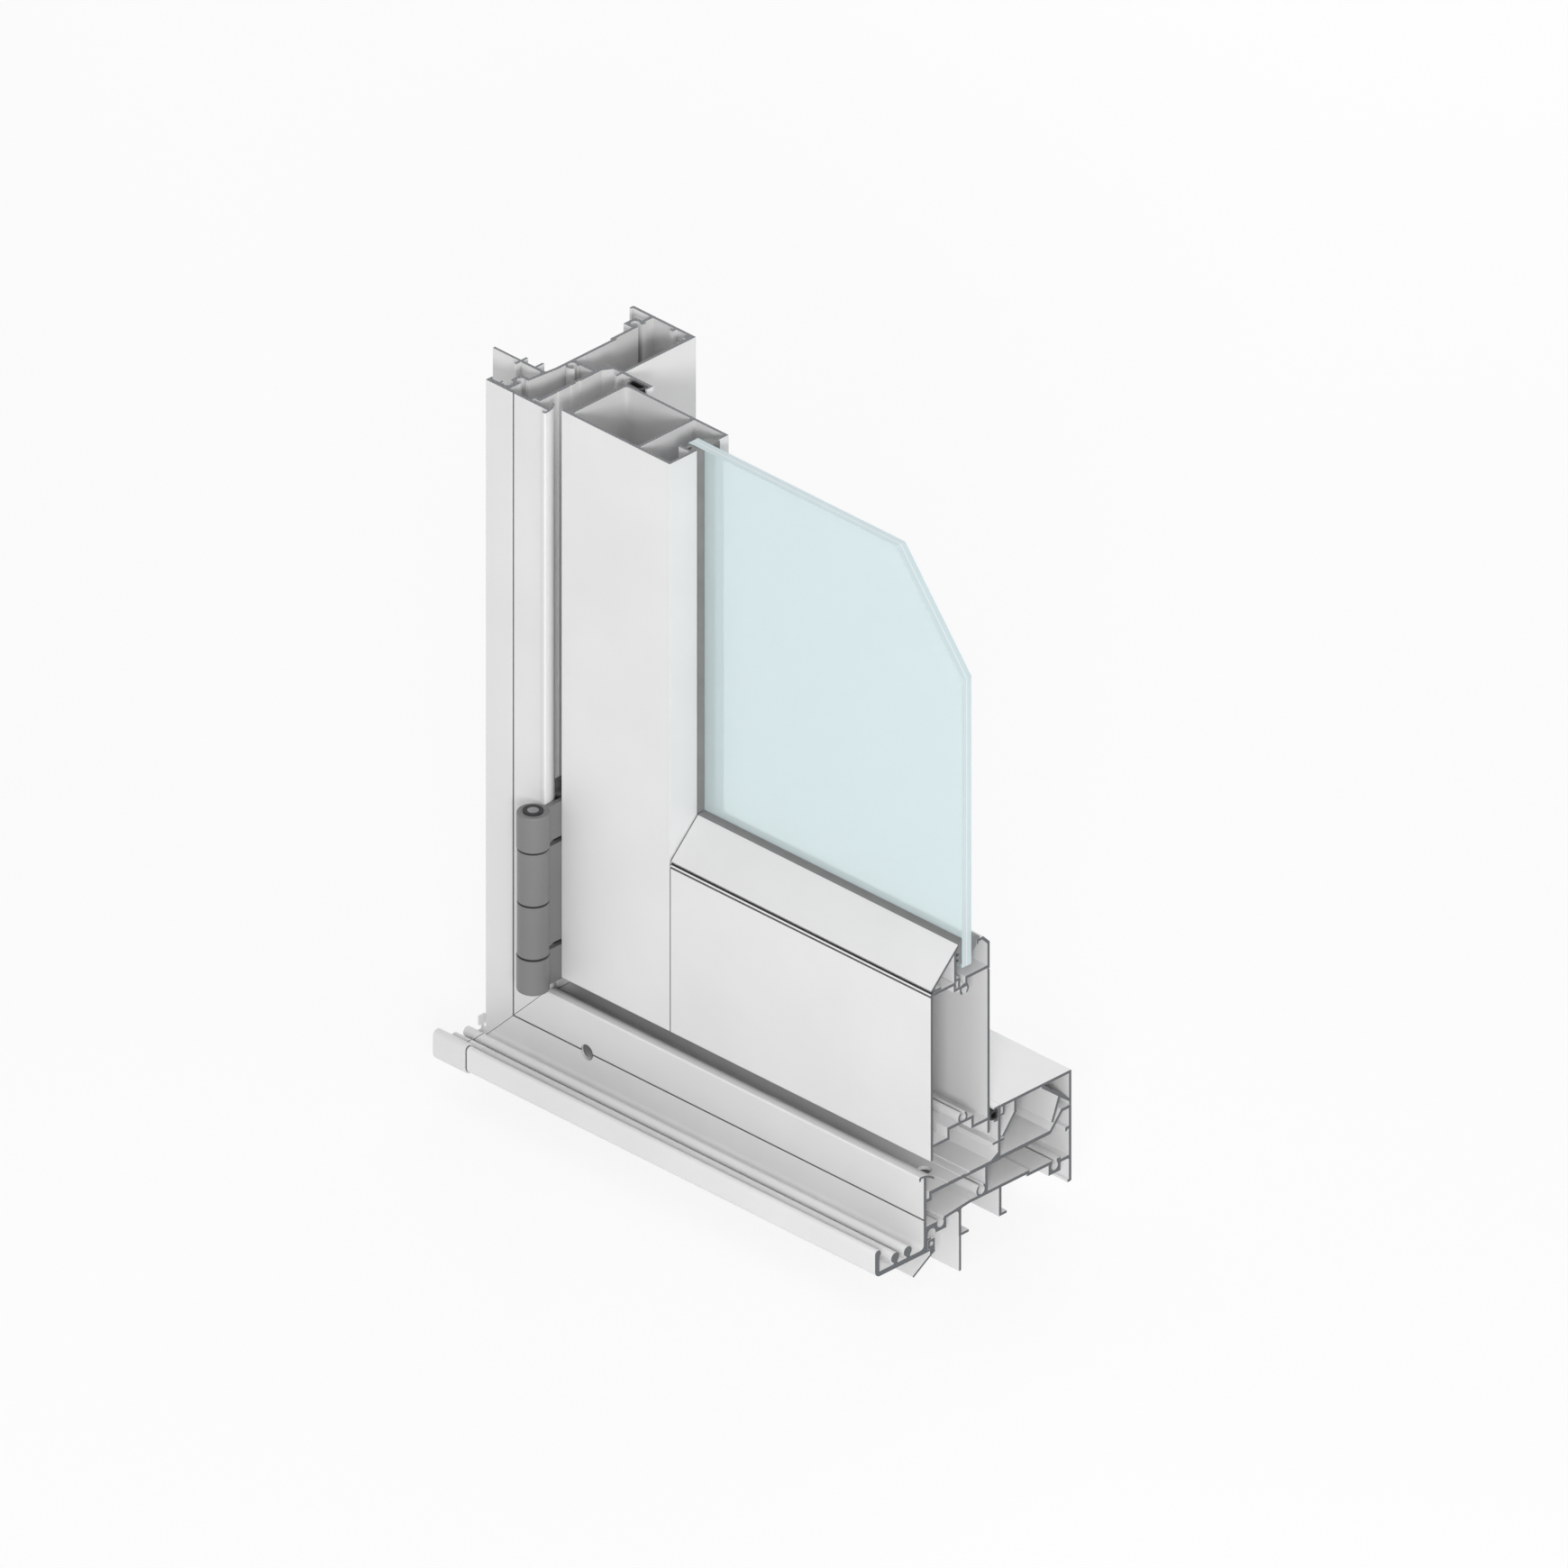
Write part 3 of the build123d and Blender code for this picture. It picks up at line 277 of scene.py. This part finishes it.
def rubber(name, colour, bloom_colour, run):
    """EPDM rubber, extruded: dull, nearly black or grey, with fine drag lines along its length and
    a little pale bloom that gathers in soft patches."""
    made, tree = new_material(name)
    spot = node(tree, "TexCoord")
    # Drag lines are about 0.2 mm apart; they are drawn 0.5 mm apart so that they show
    drag_size = 0.5 * MM
    # Patches of bloom are about 18 mm across
    bloom_size = 18 * MM

    along = node(tree, "Mapping", {"Vector": (spot, "Object"), "Scale": run_stretch(run, 0.02)})
    drag = node(tree, "TexNoise", {"Vector": along, "Scale": 1 / drag_size, "Detail": 2.0})
    bloom = node(tree, "TexNoise", {"Vector": (spot, "Object"), "Scale": 1 / bloom_size,
                                    "Detail": 4.0, "Roughness": 0.6})
    patch = node(tree, "MapRange", {"Value": bloom, "From Min": 0.35, "From Max": 0.75})
    tint = node(tree, "Mix", {0: patch, 6: linear(colour), 7: linear(bloom_colour)}, data_type="RGBA")
    rough = node(tree, "MapRange", {"Value": drag, "To Min": 0.5, "To Max": 0.72})
    bump = node(tree, "Bump", {"Height": drag, "Strength": 0.4, "Distance": 0.05 * MM})
    shader = node(tree, "BsdfPrincipled", {"Base Color": (tint, 2), "Roughness": rough, "Normal": bump})
    node(tree, "OutputMaterial", {"Surface": shader})
    return made


def moulded_plastic(name, colour, shade, rough):
    """Glass-filled nylon, injection moulded in a spark-eroded tool: an even fine matt grain."""
    made, tree = new_material(name)
    spot = node(tree, "TexCoord")
    # Spark-eroded grain is about 0.15 mm; it is drawn at 0.5 mm so that it shows
    grain_size = 0.5 * MM

    grain = node(tree, "TexNoise", {"Vector": (spot, "Object"), "Scale": 1 / grain_size, "Detail": 2.0})
    tint = node(tree, "Mix", {0: grain, 6: linear(shade), 7: linear(colour)}, data_type="RGBA")
    rougher = node(tree, "MapRange", {"Value": grain, "To Min": rough - 0.05, "To Max": rough + 0.1})
    bump = node(tree, "Bump", {"Height": grain, "Strength": 0.3, "Distance": 0.03 * MM})
    shader = node(tree, "BsdfPrincipled", {"Base Color": (tint, 2), "Roughness": rougher, "Normal": bump})
    node(tree, "OutputMaterial", {"Surface": shader})
    return made


def ground_steel(name):
    """Stainless steel pin, centreless ground: bright grey with fine rings round its axis."""
    made, tree = new_material(name)
    spot = node(tree, "TexCoord")
    # Grinding rings are about 0.05 mm apart; they are drawn 0.3 mm apart so that they show
    ring_size = 0.3 * MM

    around = node(tree, "Mapping", {"Vector": (spot, "Object"), "Scale": (0.05, 0.05, 1)})
    rings = node(tree, "TexNoise", {"Vector": around, "Scale": 1 / ring_size, "Detail": 2.0})
    tint = node(tree, "Mix", {0: rings, 6: linear("#8E9092"), 7: linear("#A9ABAC")}, data_type="RGBA")
    rough = node(tree, "MapRange", {"Value": rings, "To Min": 0.25, "To Max": 0.4})
    shader = node(tree, "BsdfPrincipled", {"Base Color": (tint, 2), "Roughness": rough, "Metallic": 1.0})
    node(tree, "OutputMaterial", {"Surface": shader})
    return made


def laminated_glass(name):
    """Laminated float glass: a smooth sheet that lets about half of the light through its pale blue
    milky body, ground edges that scatter and let less through, and half way into them the thin
    pale line of the interlayer."""
    made, tree = new_material(name)
    spot = node(tree, "TexCoord")
    # Smears of cleaning are about 30 mm across
    smear_size = 30 * MM
    # The interlayer is about 0.7 mm thick
    film_half = 0.35 * MM

    way = node(tree, "SeparateXYZ", {"Vector": (spot, "Normal")})
    facing = node(tree, "Math", {0: (way, "Y")}, operation="ABSOLUTE")
    edge = node(tree, "Math", {0: facing, 1: 0.5}, operation="LESS_THAN")
    parts = node(tree, "SeparateXYZ", {"Vector": (spot, "Object")})
    middle = float((GLASS_FRONT + GLASS_BACK) / 2 + ROW_SHIFT[1]) * MM
    film = node(tree, "Math", {0: (parts, "Y"), 1: middle, 2: film_half}, operation="COMPARE")
    edge_tint = node(tree, "Mix", {0: film, 6: linear("#DAE9ED"), 7: linear("#F4F8F8")}, data_type="RGBA")
    tint = node(tree, "Mix", {0: edge, 6: linear("#E3F1F3"), 7: (edge_tint, 2)}, data_type="RGBA")
    smear = node(tree, "TexNoise", {"Vector": (spot, "Object"), "Scale": 1 / smear_size, "Detail": 5.0})
    clean = node(tree, "MapRange", {"Value": smear, "To Min": 0.0, "To Max": 0.04})
    rough = node(tree, "Mix", {0: edge, 2: clean, 3: 0.5})
    through = node(tree, "MapRange", {"Value": edge, "To Min": 0.55, "To Max": 0.3})
    shader = node(tree, "BsdfPrincipled", {"Base Color": (tint, 2), "Roughness": rough, "IOR": 1.52,
                                           "Transmission Weight": through})
    node(tree, "OutputMaterial", {"Surface": shader})
    return made


def seen_rays(tree):
    """1 for what the eye sees straight, through the glass or in reflections, 0 for the light that
    falls on things."""
    rays = node(tree, "LightPath")
    straight = node(tree, "Math", {0: (rays, "Is Camera Ray"), 1: (rays, "Is Transmission Ray")},
                    operation="MAXIMUM")
    return node(tree, "Math", {0: straight, 1: (rays, "Is Glossy Ray")}, operation="MAXIMUM")


def studio_paper():
    """Pale paper floor: nearly white to the eye, and it keeps the corner's shadow."""
    made, tree = new_material("studio_paper")
    share = node(tree, "MapRange", {"Value": seen_rays(tree), "To Min": 0.4, "To Max": 0.8})
    paper = node(tree, "BsdfDiffuse", {"Color": linear("#FAFAFA")})
    white = node(tree, "Emission", {"Color": (1, 1, 1, 1), "Strength": 1.0})
    both = node(tree, "MixShader", {0: share, 1: paper, 2: white})
    node(tree, "OutputMaterial", {"Surface": both})
    return made


def light_world():
    """Even pale surroundings: plain white to the eye, and about half as strong where they light
    the object."""
    world = bpy.data.worlds.new("studio")
    world.use_nodes = True
    tree = world.node_tree
    tree.nodes.clear()
    strength = node(tree, "MapRange", {"Value": seen_rays(tree), "To Min": 0.48, "To Max": 1.0})
    glow = node(tree, "Background", {"Color": (1, 1, 1, 1), "Strength": strength})
    node(tree, "OutputWorld", {"Surface": glow})
    scene.world = world


# Surfaces

def softened(corners, radius, steps=4):
    """Closed outline whose corners are rounded: each corner becomes a quadratic curve
    (1-t)^2 a + 2t(1-t) p + t^2 b between points a and b on its two sides, at most a radius away."""
    p = np.array(corners, float)

    def towards(q):
        way = q - p
        length = np.linalg.norm(way, axis=1, keepdims=True)
        return p + way / length * np.minimum(radius, 0.45 * length)

    a = towards(np.roll(p, 1, 0))[:, None]
    b = towards(np.roll(p, -1, 0))[:, None]
    t = np.linspace(0, 1, steps + 1)[None, :, None]
    return ((1 - t) ** 2 * a + 2 * t * (1 - t) * p[:, None] + t ** 2 * b).reshape(-1, 2)


def run_points(outline, run, low, high, stations, lean=0.0, pivot=0.0, least=0.0, swell=0.0):
    """Grid of points: outline point (across, depth) by station along the run. The near end leans,
    low + lean * (across - pivot) but never under least, which mitres it. Swell moves depth by a
    slow sine of length that fades out at both ends."""
    swell_length = 23.0
    outline = np.asarray(outline, float)
    start = np.maximum(low + lean * (outline[:, 0] - pivot), least)
    t = np.linspace(0, 1, stations)[:, None]
    s = start + (high - start) * t
    across = np.broadcast_to(outline[:, 0], s.shape)
    depth = outline[:, 1] + swell * np.sin(s / swell_length) * np.sin(np.pi * t)
    order = (s, depth, across) if run == "x" else (across, depth, s)
    return (np.stack(order, axis=-1) + ROW_SHIFT) * MM


def quads(rows, count, base=0, flip=False):
    """Faces between neighbouring rows of a grid whose rows are closed rings of count points."""
    r, c = np.meshgrid(np.arange(rows - 1), np.arange(count), indexing="ij")
    n = (c + 1) % count
    face = np.stack([r * count + c, r * count + n, (r + 1) * count + n, (r + 1) * count + c], -1)
    face = face.reshape(-1, 4) + base
    return face[:, ::-1] if flip else face


def make_piece(name, points, faces, material):
    """Puts a surface into a mesh object at the origin that rides on the body."""
    mesh = bpy.data.meshes.new(name)
    mesh.from_pydata(points.tolist(), [], faces)
    mesh.update()
    work = bmesh.new()
    work.from_mesh(mesh)
    bmesh.ops.recalc_face_normals(work, faces=work.faces)
    work.to_mesh(mesh)
    work.free()
    mesh.polygons.foreach_set("use_smooth", np.ones(len(mesh.polygons), bool))
    mesh.set_sharp_from_angle(angle=np.radians(35))
    mesh.materials.append(material)
    thing = bpy.data.objects.new(name, mesh)
    scene.collection.objects.link(thing)
    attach(thing, "root")
    return thing


def solid_run(name, outline, material, slot_name, **where):
    """Solid extrusion: the outline carried along a straight run, closed by its two end faces."""
    grid = run_points(outline, **where)
    rows, count = grid.shape[:2]
    sides = quads(rows, count).tolist()
    ends = [list(range(count)), list(range((rows - 1) * count, rows * count))]
    return make_piece(name, grid.reshape(-1, 3), sides + ends, material)


def hollow_run(name, outer, inner, material, slot_name, **where):
    """Hollow extrusion: an outer and an inner outline of equal count carried along a run; the
    ends are rings of quads between the two."""
    skins = [run_points(outline, **where) for outline in (outer, inner)]
    rows, count = skins[0].shape[:2]
    size = rows * count
    ring = np.arange(count)
    after = (ring + 1) % count
    ends = [np.stack([ring + first, after + first, after + first + size, ring + first + size], -1)
            for first in (0, (rows - 1) * count)]
    faces = np.concatenate([quads(rows, count), quads(rows, count, size, True), *ends]).tolist()
    points = np.concatenate([skin.reshape(-1, 3) for skin in skins])
    return make_piece(name, points, faces, material)


def outer_gasket_outline(edge, shoulder, floor_depth, feet):
    """Glazing gasket section: a canted strip from the glazing stop to the glass, and behind it a
    comb of feet that press on the floor of the pocket. Offsets run away from the edge, and each
    foot is four points repeated along them."""
    foot_pitch = 3.2
    glass = GLASS_FRONT - CLEAR
    stop = GLAZING_STOP + 0.17
    strip = [(2.6, glass), (1.1, 24.2), (0.0, stop), (-1.75, stop)]
    foot = np.array([(0.0, floor_depth), (-1.5, floor_depth), (-1.9, 24.3), (-2.9, 24.3)])
    steps = np.arange(feet)[:, None, None] * (-foot_pitch, 0.0)
    comb = (foot + (shoulder, 0.0) + steps).reshape(-1, 2)[:-2]
    tail = comb[-1, 0]
    back = [(tail - 0.3, glass), (tail + 1.0, glass), (tail + 1.6, 25.6), (-2.4, 25.6), (-1.2, glass)]
    shape = np.concatenate([strip, comb, back])
    return softened(shape + (edge, 0.0), 0.3)


def wedge_outline(edge, back, reach, lap):
    """Wedge gasket section: a thin tip low on the glass, a back with three small teeth against the
    lip, and a flap that laps over it. Back is the lip's face, lap how far the flap goes over it."""
    front = GLASS_BACK + CLEAR
    root = back - 0.45
    teeth = [(-2.8, back), (-2.3, root), (-1.7, back), (-1.2, root), (-0.6, back), (0.2, back)]
    flap = [(0.25, back + lap), (1.2, back + lap), (reach - 0.4, front + 1.6), (reach, front)]
    shape = [(-6.3, front), *teeth, *flap]
    return softened([(edge + along, depth) for along, depth in shape], 0.28)


def weather_seal(name, run, high, pocket, material, node_name):
    """Bulb seal: a T-shaped root in the upstand's pocket and a hollow bulb against the panel. The
    inner outline is the outer one drawn in towards its middle, which leaves the rubber's wall."""
    top = UPSTAND_TOP - POCKET_LIP
    low = top - pocket
    face, neck, back = PANEL_BACK + CLEAR, UPSTAND_BACK - 2.8, UPSTAND_BACK - 0.1
    bulb = [(low + 0.5, neck), (low + 0.4, face + 1.5), (low + 1.6, face), (top - 1.6, face),
            (top - 0.4, face + 1.5), (top - 0.5, neck), (top - 0.2, neck + 0.4), (top - 0.2, back),
            (low + 0.2, back), (low + 0.2, neck + 0.4)]
    outer = softened(bulb, 0.9)
    centre = np.array([(low + top) / 2, (face + back) / 2 - 0.35])
    inner = centre + (outer - centre) * ((pocket - 2.6) / pocket, 0.6)
    piece = hollow_run(name, outer, inner, material, "seal_rubber", run=run, low=UPSTAND_TOP + CLEAR,
                       high=high, stations=90, swell=0.05)
    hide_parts(node_name)


# Scene

place_camera()
light_world()
for lamp in LAMPS:
    place_lamp(*lamp)

FLOOR_HALF = 6.0
FLOOR_Z = float(cad_low.z) - 0.05 * MM
floor_mesh = bpy.data.meshes.new("studio_floor")
floor_corners = [(x, y, FLOOR_Z) for x, y in
                 ((-FLOOR_HALF, -FLOOR_HALF), (FLOOR_HALF, -FLOOR_HALF),
                  (FLOOR_HALF, FLOOR_HALF), (-FLOOR_HALF, FLOOR_HALF))]
floor_mesh.from_pydata(floor_corners, [], [(0, 1, 2, 3)])
floor_mesh.materials.append(studio_paper())
floor = bpy.data.objects.new("studio_floor", floor_mesh)
scene.collection.objects.link(floor)

finishes = {
    "sill_coat": powder_coat("powder_coat_sill", "#E1E1E1", "#DCDCDC", 0.45, "x"),
    "jamb_coat": powder_coat("powder_coat_jamb", "#E1E1E1", "#DCDCDC", 0.45, "z"),
    "hinge_coat": powder_coat("powder_coat_hinge", "#787879", "#717172", 0.42, "z"),
    "end_plastic": moulded_plastic("nylon_end_cap", "#DFDFDF", "#D8D8D8", 0.5),
    "bush_plastic": moulded_plastic("nylon_bush", "#1E1E1F", "#151516", 0.45),
    "pin_steel": ground_steel("stainless_pin"),
    "glass": laminated_glass("laminated_glass"),
    "grey_rubber_x": rubber("epdm_grey_along_sill", "#6F7070", "#7B7C7C", "x"),
    "grey_rubber_z": rubber("epdm_grey_along_stile", "#6F7070", "#7B7C7C", "z"),
    "black_rubber_x": rubber("epdm_black_along_sill", "#18191A", "#262728", "x"),
    "black_rubber_z": rubber("epdm_black_along_jamb", "#18191A", "#262728", "z"),
}

finish_of_nodes = {
    "jamb_coat": ("jamb_frame", "jamb_nail_fin", "stile"),
    "sill_coat": ("sill_frame", "sill_cap", "sill_nail_fin", "sill_drip_flap", "bottom_rail",
                  "rail_glazing_bead"),
    "hinge_coat": ("hinge_jamb_leaf", "hinge_panel_leaf"),
    "end_plastic": ("nose_end_cap",),
    "bush_plastic": ("hinge_bush", "hinge_ring_1", "hinge_ring_2", "hinge_ring_3"),
    "pin_steel": ("hinge_pin",),
    "glass": ("glass_pane",),
    "black_rubber_x": ("setting_block",),
}
for finish_name, names in finish_of_nodes.items():
    for name in names:
        nodes[name].data.materials.clear()
        nodes[name].data.materials.append(finishes[finish_name])

# Glazing gaskets, mitred where the stile's meet the rail's: piece, CAD node, run, the corner where
# the mitre starts, the edge that the outline hangs on, and the outline

gaskets = (
    ("stile_outer_glazing_gasket", "stile_outer_gasket", "z", BEAD_TOP, STILE_EDGE,
     outer_gasket_outline(STILE_EDGE, shoulder=-1.8, floor_depth=22.0, feet=2)),
    ("rail_outer_glazing_gasket", "rail_outer_gasket", "x", STILE_EDGE, BEAD_TOP,
     outer_gasket_outline(BEAD_TOP, shoulder=-3.2, floor_depth=22.5, feet=3)),
    ("stile_inner_glazing_wedge", "stile_inner_gasket", "z", LIP_TOP, STILE_EDGE,
     wedge_outline(STILE_EDGE, back=37.15, reach=1.3, lap=1.2)),
    ("rail_inner_glazing_wedge", "rail_inner_gasket", "x", STILE_EDGE, LIP_TOP,
     wedge_outline(LIP_TOP, back=36.15, reach=3.2, lap=2.5)),
)
for name, node_name, run, corner, edge, outline in gaskets:
    piece = solid_run(name, outline, finishes["grey_rubber_" + run], "glazing_rubber", run=run,
                      low=corner + MITRE_GAP, high={"x": SILL_END, "z": JAMB_TOP}[run], stations=60,
                      lean=1.0, pivot=edge, least={"x": RAIL_START + CLEAR, "z": 0.0}[run])
    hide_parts(node_name)

# Weather seals in the upstands' pockets

weather_seal("jamb_bulb_seal", "z", JAMB_TOP, 11.0, finishes["black_rubber_z"], "jamb_weather_seal")
weather_seal("sill_bulb_seal", "x", SILL_END, 6.0, finishes["black_rubber_x"], "sill_weather_seal")

# Setting block under the glass: its top and foot are ribbed so that water drains past

RIB_POINTS = 7
RIB_DEPTH = 0.5
RIB_INSET = 0.5
block_low, block_high = design_box("setting_block")
rib_places = np.linspace(block_low[1] + RIB_INSET, block_high[1] - RIB_INSET, RIB_POINTS)
rib_depths = np.where(np.arange(RIB_POINTS) % 2 == 0, 0.0, RIB_DEPTH)
ribbed = np.concatenate([np.stack([block_high[2] - rib_depths, rib_places], -1),
                         np.stack([block_low[2] + rib_depths, rib_places], -1)[::-1]])
block = solid_run("ribbed_setting_block", softened(ribbed, 0.2), finishes["black_rubber_x"],
                  "seal_rubber", run="x", low=block_low[0], high=block_high[0], stations=2)
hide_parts("setting_block")
